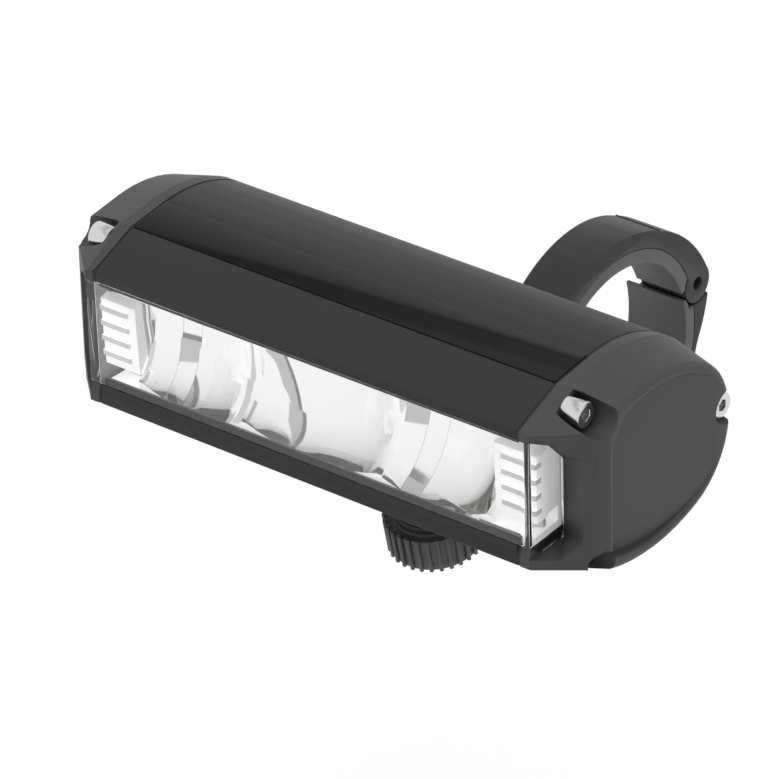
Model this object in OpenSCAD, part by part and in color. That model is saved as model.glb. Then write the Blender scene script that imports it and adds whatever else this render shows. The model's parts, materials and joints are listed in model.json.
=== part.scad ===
// Handlebar headlight: an extruded body with two screwed end caps, a wrap-around lens,
// three reflector cells with side light bars, and a hinged two-piece bar clamp.
// X runs along the handlebar, -Y is forwards, +Z is up. Lengths are in millimetres.
// The origin is the centre of the clamp bore. The lamp is drawn in its own frame, where
// y = 0 is the front face and z = 0 its lower edge, and is then moved to its place.

/* [Handlebar clamp] */
// Diameter of the handlebar that the liners hold
bar_d = 31.8; // [30:0.1:32.4]
// Thickness of each rubber liner
liner_t = 2; // [1.6:0.1:2.4]
// Wall of the aluminium clamp halves
clamp_wall = 2.5; // [2.2:0.1:3]
// Width of the upper clamp half along the bar
upper_w = 7.6; // [7:0.1:8.4]
// Width of the lower clamp half along the bar
lower_w = 9.7; // [9:0.1:10.6]
// How far the clamp leans, its rear end up
clamp_tilt = 11.9; // [10:0.1:14]
// Gap between the clamp halves
split_gap = 1.5; // [1.2:0.1:1.6]
// Diameter of the hinge pin
pin_d = 1.8; // [1.6:0.1:2]
// Running clearance around the hinge pin
pin_clearance = 0.06; // [0.04:0.01:0.1]
// Thickness of the lower arm
lower_arm_t = 4.5; // [4:0.1:5]
// Thickness of the upper arm
upper_arm_t = 4; // [3.8:0.1:4.6]

/* [Clamp screw] */
// Distance from the bar centre to the clamp screw
screw_reach = 35.6; // [34.5:0.1:37]
// Diameter of the knob
knob_d = 13.4; // [12:0.1:14.4]
// Height of the knob
knob_h = 5.3; // [4.5:0.1:6]
// Number of ribs around the knob
knob_ribs = 30; // [20:1:36]
// Core diameter of the clamp screw
screw_core_d = 4.1; // [3.8:0.05:4.2]
// Bore of the threaded insert
insert_bore_d = 5; // [5:0.1:5.3]
// How far the screw reaches past the lower arm
screw_engage = 2.8; // [2.4:0.1:3]

/* [Lamp body] */
// Length of the extruded body
body_l = 68; // [67:0.5:76]
// Height of the flat front face
face_h = 19.7; // [19.2:0.1:20.4]
// Wall of the extrusion
body_wall = 1.6; // [1.3:0.1:1.8]
// Distance from the bar centre forward to the front face
lamp_reach = 61.6; // [61:0.1:64]
// Height of the lower edge of the front face above the bar centre
lamp_rise = 12.45; // [12.4:0.05:14]
// Thickness of the dark strip let into the top
strip_t = 0.8; // [0.5:0.1:1]
// How far the strip stands proud
strip_proud = 0.1; // [0.05:0.05:0.4]

/* [End caps] */
// Thickness of the sealing gasket
gasket_t = 0.4; // [0.3:0.1:0.6]
// Thickness of the cap's straight flange
flange_t = 1.6; // [1.3:0.1:1.8]
// Whole thickness of the end cap
cap_t = 8.3; // [8:0.1:9.5]
// How far the cap's outer face is drawn in
cap_inset = 1.7; // [1.4:0.1:1.9]
// Depth of the hollow in the cap's outer face
dish_depth = 1.5; // [1:0.1:1.7]
// Diameter of a cap screw head
cap_head_d = 3.5; // [3.2:0.1:3.8]
// Length of a cap screw head
cap_head_l = 2.9; // [2.4:0.1:3.2]
// Thread diameter of a cap screw
cap_screw_d = 2; // [1.8:0.1:2.2]
// Length of a cap screw below its head
cap_screw_l = 11; // [9:0.5:13]

/* [Lens and light] */
// Thickness of the lens
lens_t = 1.1; // [1:0.1:1.4]
// Lower edge of the lens above the bottom of the front face
lens_low = 2.9; // [2.8:0.1:3.2]
// Width of the fascia above the lens
fascia_top = 1.4; // [1.2:0.1:1.8]
// Depth of the side windows
side_window_d = 7.45; // [7:0.05:7.8]
// Spacing of the outer reflector cells from the middle
cell_pitch = 19.3; // [18.8:0.1:19.8]
// Half the width of the middle reflector cell
middle_half = 10.9; // [10.4:0.1:11.2]
// Diameter of the dome of each main emitter
dome_d = 3.2; // [2.6:0.1:3.4]

/* [Battery] */
// Diameter of the cell
cell_d = 18.4; // [18:0.1:18.6]
// Length of the cell
cell_l = 65; // [60:0.5:65]

/* [Button and charging port] */
// Diameter of the power button
button_d = 8; // [7:0.1:8.6]
// Travel of the power button
button_travel = 0.6; // [0.4:0.1:0.8]
// Width of the rubber port cover
cover_w = 6.6; // [6.2:0.1:7.2]
// Height of the rubber port cover
cover_h = 12.4; // [12:0.1:13]

/* [Hidden] */
$fn = 72;
eps = 0.02;
far = 60;              // size of what only cuts
over = 1;              // how far a cut reaches past a face
gap = 0.1;             // clearance between parts that fit in one another
seat = 0.05;           // clearance where one part rests in another

// Outline of the extrusion: the crease and the rear edge of the top strip, the nose circle,
// and the front end of the curved underside.
crease = [8.15, face_h + 3];
strip_end = [14.9, face_h + 3.6];
nose_c = [23, 8.9];
nose_r = 12.7;
nose_top_a = 58;
nose_low_a = -70;
belly = [7.5, -3.2];

// A circle that touches the nose circle from outside at angle a and passes through point p
function touch_k(p, a) = let(w = p - nose_c, wu = w[0] * cos(a) + w[1] * sin(a))
    (w * w - nose_r * nose_r) / (2 * (nose_r - wu));
function touch_c(p, a) = nose_c - touch_k(p, a) * [cos(a), sin(a)];
function touch_r(p, a) = nose_r + touch_k(p, a);
function angle_of(p, c) = atan2(p[1] - c[1], p[0] - c[0]);
function arc(c, r, a0, a1, n) =
    [for (i = [0 : n]) let(a = a0 + (a1 - a0) * i / n) c + r * [cos(a), sin(a)]];

top_c = touch_c(strip_end, nose_top_a);
top_r = touch_r(strip_end, nose_top_a);
low_c = touch_c(belly, nose_low_a);
low_r = touch_r(belly, nose_low_a);
top_start = angle_of(strip_end, top_c);
low_end = angle_of(belly, low_c);

// The rear of the outline, drawn in by d
function rear_points(d, a0, a1) = concat(
    arc(top_c, top_r - d, a0, nose_top_a, 9),
    arc(nose_c, nose_r - d, nose_top_a - 8, nose_low_a + 8, 14),
    arc(low_c, low_r - d, nose_low_a, a1, 8));
outline = concat([[0, 0], [0, face_h], crease], rear_points(0, top_start, low_end));

// Stations along X
cap_x = body_l / 2 + gasket_t / 2;
body_end_x = body_l / 2 - gasket_t / 2;
flange_x = cap_x + flange_t;
outer_x = cap_x + cap_t;
dish_x = outer_x - dish_depth;
cap_floor_t = 1.4;
hollow_inset = 2.9;               // how far the cap's hollow is drawn in from the outline
hollow_front = 10.5;
hollow_back = 30.2;
hollow_x = dish_x - cap_floor_t;
window_x = cap_x + 1.36;          // outer face of the side window
pane_in_x = window_x - lens_t;

// Lens
lens_front = 0.15;
lens_back = lens_front + lens_t;
lens_high = face_h - fascia_top;
rim_w = 0.8;                      // flange behind the fascia
rim_t = 0.8;
seal_t = 0.4;
lip_t = 0.6;                      // fascia in front of the seal
bead_front = 0.1;                 // the seal's bead, which shows below the lens
bead_h = 1.05;
rim_front = lip_t + seal_t + seat;
rim_back = rim_front + rim_t;
window_low = lens_low - 1.8;
window_high = lens_high - 5.6;
// Outline of a side pane, or of its hole, drawn out by d
function window_points(d) = [[lens_front - d, lens_low - d], [2.9, window_low - d],
    [side_window_d + d, window_low - d], [side_window_d + d, window_high + d / 2],
    [4.2 + d / 2, lens_high - 2 + d], [lens_front - d, lens_high + d]];

// Chamber and shelf inside the extrusion
shelf_z = 2.2;
shelf_back = 12;

// Cap screws: the axis of each as (y, z), which is also its boss in the extrusion
cap_screws = [[7.1, face_h + 0.7], [7.1, -0.4], [33.2, 9.8]];
boss_r = 2;
cap_head_x = cap_x + 2.25;        // seat of the screw heads
seats_out = [0, 0, 2.4];          // how much further out each seat lies than that
cap_tip_x = cap_head_x - cap_screw_l;
cap_bore_r = cap_head_d / 2 + gap;
socket_r = 0.85;
trough_r = 2.5;
head_bore_rs = [trough_r, cap_bore_r, trough_r];
scoop_tilt = 32.8;                // lean of the cut that lays the top screw open
scoop_turn = 40.4;
scoop_front = 0.38;
scoop_low = 10;
scoop_z = face_h - 0.07;
scoop_back = 8.9;
// Outline of the shallow slope around the side window
recess = [[0, 18.5], [2.2, 17.8], [4.95, 15.34], [4.9, 3.57], [2.45, 1.02], [0, 1.28]];
recess_lean = 45;
dish_rim = 1.5;
dish_front = 8.5;
dish_back = 29.3;
dish_corner = 6;                  // roundness of its front upper corner
dish_corner_z = strip_end[1] - cap_inset - dish_rim - dish_corner;
slope_back = 31.2;                // where the right cap's hollow runs out
edge_soft = 0.35;                 // what is taken off the edge in front of the outer face
cap_round = 1;                  // roundness of the outer face's edge
rim_round = 0.5;                  // roundness of the hollow's edge
round_steps = [0, 30, 60, 90];

// Screws that hold the foot, along the clamp's own Z axis
mount_screw_x = 7;
mount_screw_y = 36.75;
mount_screw_r = 1.25;
mount_head_r = 2.1;
mount_head_l = 1.6;
mount_screw_low = 14;             // where the holes in the body begin
mount_screw_top = 18.9;
mount_socket_r = 1.15;
mount_boss_r = 2.6;
mount_boss_h = 7;
mount_boss_top = -1.1;            // in the lamp's frame
foot_half = 10;
foot_front = -44;
foot_back = -29.5;
foot_t = 1.6;

// Battery
cell_c = [21.6, 9.3];
cell_x = 0.5;                     // the cell's middle, towards the right end
cell_r = cell_d / 2;
cradle_wall = 1;
cradle_half = 28;
bulkhead_inset = 4;
bulkhead_xs = [bulkhead_inset - cradle_half, 0, cradle_half - bulkhead_inset];
bulkhead_t = 1.8;
bulkhead_front = 12.1;
tab_t = 0.3;
wire_r = 0.4;
driver_low = 19.3;
driver_t = 1;
driver_half = cradle_half;
driver_front = 12.5;
driver_back = 22.8;
lead_z = driver_low + driver_t / 2;
led_lead_y = 10.4;
led_lead_inset = 8;
led_lead_pitch = 3;
led_lead_xs = [led_lead_inset - cradle_half, led_lead_inset + led_lead_pitch - cradle_half];
tab_half = 2;
// The driver's parts: the front left corner of each and its size
chips = [[-22, 14, 4, 4, 0.8], [-12, 13.8, 4.4, 4.4, 0.85], [11, 14.2, 5, 3.6, 0.8], [21, 14, 3, 4, 0.85]];
capacitors = [[-1, 16], [5, 16]];
capacitor_r = 1.6;

// LED board, under the upper screw bosses, and the mirror bowls below it
board_t = 1;
board_top = cap_screws[0][1] - boss_r - seat;
board_low = board_top - board_t;
board_front = rim_back + gap + seat;
board_back = 11.8;
led_y = 5.2;
emitter_w = 3.4;
emitter_t = 0.5;
led_z = board_low - emitter_t;
refl_front = rim_back + seat;
refl_back = 11.4;
side_room = 5.2;                  // length that each side light takes at the reflector's end
board_half = body_end_x - 0.2;
refl_half = board_half - side_room;
wing_high = shelf_z + 1;          // top of the reflector's wings, under the light bars
wing_back = 8.4;
rib_half = 0.5;                   // half of the wall between two cells
cell_wall_front = 6;              // front edge of the walls between the cells
bowl_r = 16.4;                    // upright section of a bowl: an arc about bowl_c
bowl_c = [refl_back - 0.4 - bowl_r, 17.7];
middle_turn_r = 22.1;             // level section of the middle bowl
side_turn_r = 14.9;               // level section of an outer bowl
seam_out = -5.1;                  // the seams between an outer bowl's two facets and its round part
seam_in = -2.4;
bowl_steps = 16;
function set_back(x, r) = sqrt(r * r - x * x) - r;
function stations(x0, x1, n) = [for (i = [0 : n]) x0 + (x1 - x0) * i / n];
middle_reach = middle_half - rib_half;
ridge_back = set_back(middle_reach, middle_turn_r);
side_in = middle_half + rib_half;
side_out = refl_half - rib_half;

// Side light bars
bar_in_x = refl_half + 0.2;
bar_front = 2.6;
bar_back = 4.8;
bar_low = 5.3;
bar_high = 14.95;
bar_out_x = pane_in_x - 0.16;
base_front = 7.4;                 // the bar's base, which closes the view behind the side window
base_t = 0.8;
base_high = 16.4;
post_w = 0.8;                     // post that carries the bar on its base
fin_in_x = bar_in_x + 1.3;
fin_out_x = bar_out_x + 0.1;
fin_front = 2.25;
fin_bury = 0.8;                   // how far a fin goes into the bar
fin_t = 0.75;
fin_low = 6.95;                   // middle of the lowest fin
fin_count = 4;
fin_pitch = 2.23;
side_board_front = bar_back + 0.4;
side_board_t = 0.55;
side_board_high = 14.3;
side_led = [1.8, 1.6];            // width and height of a side emitter
side_led_pitch = 2.6;

// Port board, button and charging port, at the left end
port_board_x = cap_x + 0.5;       // outer face of the port board
port_board_t = 1;
button_c = [14.6, 10];
port_c = [24, 10];
port_w = 3.2;
port_h = 9;
cover_t = 1;
port_board_low = [10.2, 2.4];
port_board_high = [29, 15.8];
socket_out_x = dish_x - 1.6;
shell_t = 0.3;
button_r = button_d / 2;
button_out_x = dish_x + 0.4;
button_flange_x = dish_x - 2.2;   // outer face of the button's flange
button_flange_t = 0.6;
stem_r = 1.2;
stem_x = 37;
plunger_x = stem_x - button_travel - seat;
cover_hinge = [dish_x + 0.5, port_c[1] - cover_h / 2 - 0.1];   // (x, z) of the cover's hinge
cover_pin_r = 0.4;
lug_t = 0.55;
lug_r = 0.7;
board_ledge = 0.8;                // rim of the cap that the port board rests on
seal_w = 1.4;                     // width of the button's seal
button_rim = 0.8;                 // how far the button's flange stands out
port_margin = [0.2, 0.4];
tongue = [0.35, 3.2];             // half the thickness and half the width of the socket's tongue
tongue_back = 0.6;
switch_half = 2.6;
plunger_r = 1.1;
plunger_l = 0.45;
plug = [1.25, 3.9];               // half the thickness and half the width of the cover's plug
port_lead_x = 33.1;
port_lead_z = 15;
port_lead_ys = [14.5, 17];

// Clamp, in its own frame: the bar centre is the origin and the frame leans by clamp_tilt
bore_r = bar_d / 2;
shell_r = bore_r + liner_t;
ring_r = shell_r + clamp_wall;
ring_right = lower_w / 2;
ring_left = ring_right - upper_w;
split_mid = 1.7;
split_high = split_mid + split_gap / 2;
split_low = split_mid - split_gap / 2;
hinge_c = [ring_r - 1, 1.6];
knuckle_r = 2.85;
knuckle_gap = 0.2;
pin_depth = 1.2;                  // how far the pin's ends lie below the cheeks
cheek_t = 2.4;
knob_top = 2.55;
washer_t = 0.8;
arm_low = knob_top + washer_t + gap;
arm_mid = arm_low + lower_arm_t;
arm_mid_up = arm_mid + gap;
arm_high = arm_mid_up + upper_arm_t;
arm_end_r = lower_w / 2;
foot_low = arm_high - eps;        // underside of the foot, where its screws' heads rest
knob_gap = 0.05;
insert_r = 3.4;
washer_r = 4.9;
knob_head_r = 3.9;                // across the corners of the screw's hexagon head
knob_head_t = 2.4;
knob_head_z = knob_top - knob_h + knob_head_t;
rib_depth = 0.5;
rib_width = 0.3;
shoulder = 0.4;                   // how far the rim lies below the knob's top
knob_face_r = 5.2;

// Places what is drawn in the lamp's frame
module in_lamp() translate([0, -lamp_reach, lamp_rise]) children();
// Leans what is drawn in the clamp's frame
module in_clamp() rotate([clamp_tilt, 0, 0]) children();
// Extrudes a (y, z) drawing along X from x0 to x1
module along_x(x0, x1) translate([x0, 0, 0]) rotate([90, 0, 90]) linear_extrude(x1 - x0) children();
// A round bar along X
module rod_x(x0, x1, r, c) translate([x0, c[0], c[1]]) rotate([0, 90, 0]) cylinder(r = r, h = x1 - x0);
// A box from its low and high corners
module box(a, b) translate(a) cube(b - a);
// Draws a left-hand copy
module left_side() mirror([1, 0, 0]) children();
// The axis of one screw of the foot, seen from the lamp's frame
module mount_axis(s) translate([0, lamp_reach, -lamp_rise]) in_clamp()
    translate([s * mount_screw_x, -mount_screw_y, 0]) children();
// A straight rod between two points
module rod(a, b, r) {
    d = b - a;
    translate(a) rotate([0, acos(d[2] / norm(d)), atan2(d[1], d[0])]) cylinder(r = r, h = norm(d), $fn = 24);
}
// A wire through a list of points, with rounded bends
module wire(points) {
    for (i = [1 : len(points) - 1]) rod(points[i - 1], points[i], wire_r);
    if (len(points) > 2) for (i = [1 : len(points) - 2]) translate(points[i]) sphere(r = wire_r, $fn = 24);
}

// The body's outline and what is cut from it
module strip_2d(inner, outer, side) {
    d = (strip_end - crease) / norm(strip_end - crease);
    n = [-d[1], d[0]];
    a = crease - side * d;
    b = strip_end + side * d;
    polygon([a - inner * n, b - inner * n, b + outer * n, a + outer * n]);
}
module chamber_2d() polygon(concat(
    [[lip_t, lens_low - rim_w - gap], [lip_t, lens_high + rim_w + gap], [3, face_h - gap],
     crease - [0, body_wall + gap]],
    rear_points(body_wall, top_start, low_cut_a),
    [[shelf_back, shelf_z], [rim_back + gap, shelf_z], [rim_back + gap, lens_low - rim_w - gap]]));
module front_opening_2d() polygon([[-1, lens_low - 1.9], [0, lens_low - 1.3], [lip_t + eps, lens_low - seat],
    [lip_t + eps, lens_high + seat], [-1, lens_high + seat]]);
low_cut_a = -90 - asin((low_c[0] - shelf_back) / (low_r - body_wall));

// The outline drawn in by d, for the taper of the end caps
front_lean = atan2(crease[1] - face_h, crease[0]);
belly_lean = atan2(-belly[1], belly[0]);
function drawn_in(d) = concat(
    [[0, d / cos(belly_lean)], [0, face_h - d / cos(front_lean)], crease + d * [0.1, -1.03]],
    rear_points(d, top_start, low_end));

module body_2d() difference() {
    union() {
        difference() {
            polygon(outline);
            chamber_2d();
        }
        intersection() {
            polygon(outline);
            for (c = cap_screws) translate(c) circle(r = boss_r);
        }
    }
    front_opening_2d();
    strip_2d(strip_t, 1, eps);
}
module housing() color("#3f3f40") in_lamp() difference() {
    union() {
        along_x(-body_end_x, body_end_x) body_2d();
        intersection() {
            for (s = [-1, 1]) mount_axis(s) translate([0, 0, mount_screw_low])
                cylinder(r = mount_boss_r, h = mount_boss_h);
            along_x(-foot_half, foot_half) intersection() {
                polygon(drawn_in(body_wall / 2));
                translate([0, -10]) square([40, 10 + mount_boss_top]);
            }
        }
    }
    for (c = cap_screws) {
        rod_x(cap_tip_x - 0.5, body_end_x + 1, cap_screw_d / 2 + eps, c);
        rod_x(-body_end_x - 1, -cap_tip_x + 0.5, cap_screw_d / 2 + eps, c);
    }
    for (s = [-1, 1]) mount_axis(s) translate([0, 0, mount_screw_low])
        cylinder(r = mount_screw_r + eps, h = mount_screw_top - mount_screw_low + 0.1);
}

module top_strip() color("#2b2b2c") in_lamp()
    along_x(-body_end_x, body_end_x) strip_2d(strip_t - eps, strip_proud, 0);

// A gasket, drawn at the right end
module gasket() in_lamp() along_x(body_end_x, cap_x) difference() {
    polygon(drawn_in(gap));
    chamber_2d();
    front_opening_2d();
    polygon(window_points(seat));
    for (c = cap_screws) translate(c) circle(r = cap_screw_d / 2 + gap);
}
module gasket_right() color("#1a1a1b") gasket();
module gasket_left() color("#1a1a1b") left_side() gasket();

// An end cap, drawn at the right end, without the hollow in its outer face
module cap_shell() difference() {
    union() {
        along_x(cap_x, flange_x) polygon(outline);
        hull() {
            along_x(flange_x - eps, flange_x) polygon(outline);
            for (t = round_steps) let(x = outer_x - cap_round * (1 - sin(t)))
                along_x(x - eps, x) polygon(drawn_in(cap_inset - cap_round / 4 + cap_round * (1 - cos(t))));
        }
    }
    translate([window_x, 0, 0]) rotate([0, 0, recess_lean]) translate([0, -20, -10]) cube([20, 20, 40]);
    translate([outer_x, (outer_x - window_x) * tan(recess_lean), 0]) rotate([0, 0, -recess_lean / 2])
        translate([-edge_soft, -far / 2, -far / 2]) cube(far);
    intersection() {
        translate([window_x, scoop_front, scoop_z]) rotate([0, scoop_tilt, -scoop_turn])
            translate([-20, -20, 0]) cube([40, 40, 12]);
        box([cap_x, -5, scoop_low], [outer_x + 1, scoop_back, 30]);
    }
    along_x(cap_x - 1, window_x) front_opening_2d();
    box([cap_x - 1, -1, lens_low - seat], [window_x, lens_back + seat, lens_high + seat]);
    along_x(cap_x - 1, window_x) polygon(window_points(seat));
    window_recess();
    for (i = [0 : 2]) {
        rod_x(cap_x - 1, outer_x, cap_screw_d / 2 + gap, cap_screws[i]);
        rod_x(cap_head_x + seats_out[i], outer_x + 1, head_bore_rs[i], cap_screws[i]);
    }
}
module window_recess() hull() {
    along_x(window_x - eps, window_x) polygon(window_points(seat));
    translate([window_x, 0, 0]) rotate([0, 0, recess_lean]) rotate([90, 0, 0]) linear_extrude(2)
        polygon([for (p = recess) [p[0] / sin(recess_lean), p[1]]]);
}
// The hollow in the outer face, back to y and drawn out by d
module dish_2d(y, d) intersection() {
    polygon(drawn_in(cap_inset + dish_rim - d));
    translate([dish_front - d, -far / 4]) square([y - dish_front + 2 * d, far]);
    union() {
        translate([0, dish_corner_z - far]) square(far);
        translate([dish_front + dish_corner, -far / 2]) square(far);
        translate([dish_front + dish_corner, dish_corner_z]) circle(r = dish_corner + d);
    }
}
module dish(x0, y) {
    along_x(x0, outer_x + 1) dish_2d(y, 0);
    for (i = [1 : len(round_steps) - 1]) hull() for (t = [round_steps[i - 1], round_steps[i]])
        let(x = outer_x - rim_round * (1 - sin(t))) along_x(x, x + eps) dish_2d(y, rim_round * (1 - cos(t)));
}
// The hollow behind it, from x0 to x1 between two depths
module cap_hollow(x0, x1, front, back) along_x(x0, x1) intersection() {
    polygon(drawn_in(hollow_inset));
    translate([front, -far / 4]) square([back - front, far]);
}
module end_cap_right() color("#515152") in_lamp() difference() {
    cap_shell();
    cap_hollow(cap_x - 1, hollow_x, hollow_front, hollow_back);
    // The right cap's hollow rises to nothing at its rear
    intersection() {
        dish(dish_x - 1, slope_back);
        translate([dish_x, dish_front, -far / 2])
            rotate([0, 0, -atan(dish_depth / (slope_back - dish_front))])
                translate([0, -over, 0]) cube([cap_t, far, far]);
    }
}
module end_cap_left() color("#515152") in_lamp() left_side() {
    difference() {
        cap_shell();
        dish(dish_x, dish_back);
        box([cap_x - 1, port_board_low[0] - gap, port_board_low[1] - gap],
            [port_board_x + eps, port_board_high[0] + gap, port_board_high[1] + gap]);
        box([cap_x - 1, port_board_low[0] + board_ledge, port_board_low[1] + board_ledge],
            [hollow_x, port_board_high[0] - board_ledge, port_board_high[1] - board_ledge]);
        rod_x(port_board_x, hollow_x, button_r + seal_w + gap, button_c);
        rod_x(hollow_x - 1, dish_x + 1, button_r + gap, button_c);
        box([hollow_x - 1, port_c[0] - port_w / 2 - port_margin[0], port_c[1] - port_h / 2 - port_margin[1]],
            [dish_x + 1, port_c[0] + port_w / 2 + port_margin[0], port_c[1] + port_h / 2 + port_margin[1]]);
    }
    for (s = [-1, 1]) difference() {
        y = port_c[0] + s * (cover_w / 2 + gap + lug_t / 2);
        box([dish_x - eps, y - lug_t / 2, cover_hinge[1] - lug_r],
            [dish_x + 1, y + lug_t / 2, cover_hinge[1] + lug_r]);
        cover_axis(cover_w + 4, cover_pin_r + seat);
    }
}
// A round bar on the hinge axis of the port cover
module cover_axis(l, r) translate([cover_hinge[0], port_c[0] + l / 2, cover_hinge[1]])
    rotate([90, 0, 0]) cylinder(r = r, h = l);

module cap_screw(i) let(c = cap_screws[i]) translate([seats_out[i], 0, 0]) difference() {
    union() {
        rod_x(cap_tip_x, cap_head_x + eps, cap_screw_d / 2, c);
        rod_x(cap_head_x, cap_head_x + cap_head_l, cap_head_d / 2, c);
    }
    translate([cap_head_x + cap_head_l / 2, c[0], c[1]]) rotate([0, 90, 0])
        cylinder(r = socket_r, h = cap_head_l, $fn = 6);
}
module cap_screws_right() color("#c9c9cb") in_lamp() for (i = [0 : 2]) cap_screw(i);
module cap_screws_left() color("#c9c9cb") in_lamp() left_side() for (i = [0 : 2]) cap_screw(i);

module front_lens() color("#e4eaee", 0.5) in_lamp() {
    box([-window_x, lens_front, lens_low], [window_x, lens_back, lens_high]);
    for (z = [lens_low - rim_w, lens_high - rim_w])
        box([-board_half, rim_front, z], [board_half, rim_back, z + 2 * rim_w]);
    for (x = [-window_x, pane_in_x]) along_x(x, x + lens_t) polygon(window_points(0));
}
module lens_seal() color("#1a1a1b") in_lamp() {
    box([-board_half, lip_t, lens_low - rim_w], [board_half, lip_t + seal_t, lens_low - eps]);
    along_x(-board_half, board_half) polygon([[bead_front, lens_low - bead_h], [bead_front, lens_low - eps],
        [lip_t + eps, lens_low - eps], [lip_t + eps, lens_low - seat]]);
    box([-board_half, lip_t, lens_high + eps], [board_half, lip_t + seal_t, lens_high + rim_w]);
}

// What a bowl holds, seen from the side
module bowl_2d() polygon(concat(arc(bowl_c, bowl_r, -75, 0, bowl_steps),
    [[bowl_c[0] + bowl_r, board_top], [-far / 12, board_top], [-far / 12, refl_front]]));
// The space of one cell about x = c, from x0 to x1, through stations counted from c
module cell(c, xs, r) hull() for (x = xs)
    along_x(c + x - eps / 2, c + x + eps / 2) translate([set_back(x, r), 0]) bowl_2d();
module side_cell(c, x0, x1)
    cell(c, concat([x0, seam_out], stations(seam_in, x1, bowl_steps / 2)), side_turn_r);
module reflector() color("#d9d9da") in_lamp() {
    difference() {
        box([-refl_half, refl_front, shelf_z], [refl_half, refl_back, board_low - seat]);
        cell(0, stations(-middle_reach, middle_reach, bowl_steps), middle_turn_r);
        side_cell(cell_pitch, side_in - cell_pitch, side_out - cell_pitch);
        side_cell(-cell_pitch, cell_pitch - side_out, cell_pitch - side_in);
        along_x(-refl_half - 1, refl_half + 1) intersection() {
            translate([ridge_back, 0]) bowl_2d();
            square([cell_wall_front, board_top]);
        }
    }
    for (s = [-1, 1]) box([s > 0 ? refl_half - eps : -board_half, refl_front, shelf_z],
        [s > 0 ? board_half : eps - refl_half, wing_back, wing_high]);
}

// A light bar and its board, drawn at the right end
module light_bar() in_lamp() {
    box([bar_in_x, bar_front, bar_low], [bar_out_x, bar_back, bar_high]);
    box([board_half - post_w, bar_back - eps, bar_low], [board_half, base_front + eps, bar_high]);
    box([bar_in_x, base_front, wing_high], [board_half, base_front + base_t, base_high]);
    for (i = [0 : fin_count - 1]) {
        z = fin_low + i * fin_pitch;
        box([fin_in_x, fin_front, z - fin_t / 2], [fin_out_x, bar_front + fin_bury, z + fin_t / 2]);
    }
}
module light_bar_right() color("#f2f2f2") light_bar();
module light_bar_left() color("#f2f2f2") left_side() light_bar();
module side_led_board() in_lamp() {
    box([bar_in_x, side_board_front, wing_high],
        [board_half - post_w - gap, side_board_front + side_board_t, side_board_high]);
    for (i = [0 : 2]) translate([(bar_in_x + board_half - post_w - side_led[0]) / 2, bar_back,
        bar_low + 2 * side_led[1] / 3 + side_led_pitch * i])
        cube([side_led[0], side_board_front - bar_back + eps, side_led[1]]);
}
module side_led_board_right() color("#e8e8e4") side_led_board();
module side_led_board_left() color("#e8e8e4") left_side() side_led_board();

module main_led_board() color("#c9cac8") in_lamp()
    box([-refl_half, board_front, board_low], [refl_half, board_back, board_top]);
module led_emitter() {
    translate([-emitter_w / 2, -emitter_w / 2, 0]) cube([emitter_w, emitter_w, emitter_t]);
    intersection() {
        translate([0, 0, eps]) sphere(r = dome_d / 2);
        translate([-emitter_w, -emitter_w, eps - emitter_w]) cube([2 * emitter_w, 2 * emitter_w, emitter_w]);
    }
}
module led_emitters() color("#e9e3b0") in_lamp() for (x = [-cell_pitch, 0, cell_pitch])
    translate([x, led_y, led_z]) led_emitter();
module led_leads() color("#8b1a1a") in_lamp() for (x = led_lead_xs)
    wire([[x, led_lead_y, board_top], [x, led_lead_y, lead_z], [x, driver_front, lead_z]]);

module battery_cell() color("#2f6fb0") in_lamp()
    rod_x(cell_x - cell_l / 2, cell_x + cell_l / 2, cell_r, cell_c);
module battery_cradle() color("#26282a") in_lamp() difference() {
    union() {
        intersection() {
            rod_x(-cradle_half, cradle_half, cell_r + seat + cradle_wall, cell_c);
            box([-cradle_half, bulkhead_front, -5], [cradle_half, 35, 5]);
        }
        for (x = bulkhead_xs) along_x(x - bulkhead_t / 2, x + bulkhead_t / 2) intersection() {
            polygon(rear_points(body_wall + gap, top_start, low_end));
            translate([bulkhead_front, -5]) square([30, driver_low + 5]);
        }
    }
    rod_x(-cradle_half - 1, cradle_half + 1, cell_r + seat, cell_c);
    rod_x(-cradle_half - 1, cradle_half + 1, boss_r + gap, cap_screws[2]);
}
module battery_leads() color("#a61f1f") in_lamp() for (s = [-1, 1]) {
    end_x = cell_x + s * cell_l / 2;
    tab_x = end_x + s * tab_t / 2;
    wire_x = end_x + s * (tab_t + wire_r);
    box([tab_x - tab_t / 2, cell_c[0] - tab_half, cell_c[1] - tab_half],
        [tab_x + tab_t / 2, cell_c[0] + tab_half, cell_c[1] + tab_half]);
    wire([[wire_x, cell_c[0], cell_c[1]], [wire_x, cell_c[0], lead_z], [s * driver_half, cell_c[0], lead_z]]);
}
module driver_board() color("#1f5b34") in_lamp()
    box([-driver_half, driver_front, driver_low], [driver_half, driver_back, driver_low + driver_t]);
module driver_parts() color("#33363a") in_lamp() translate([0, 0, driver_low + driver_t]) {
    for (c = chips) translate([c[0], c[1], 0]) cube([c[2], c[3], c[4]]);
    for (c = capacitors) translate([c[0], c[1], 0]) cylinder(r = capacitor_r, h = chips[1][4]);
}

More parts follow.
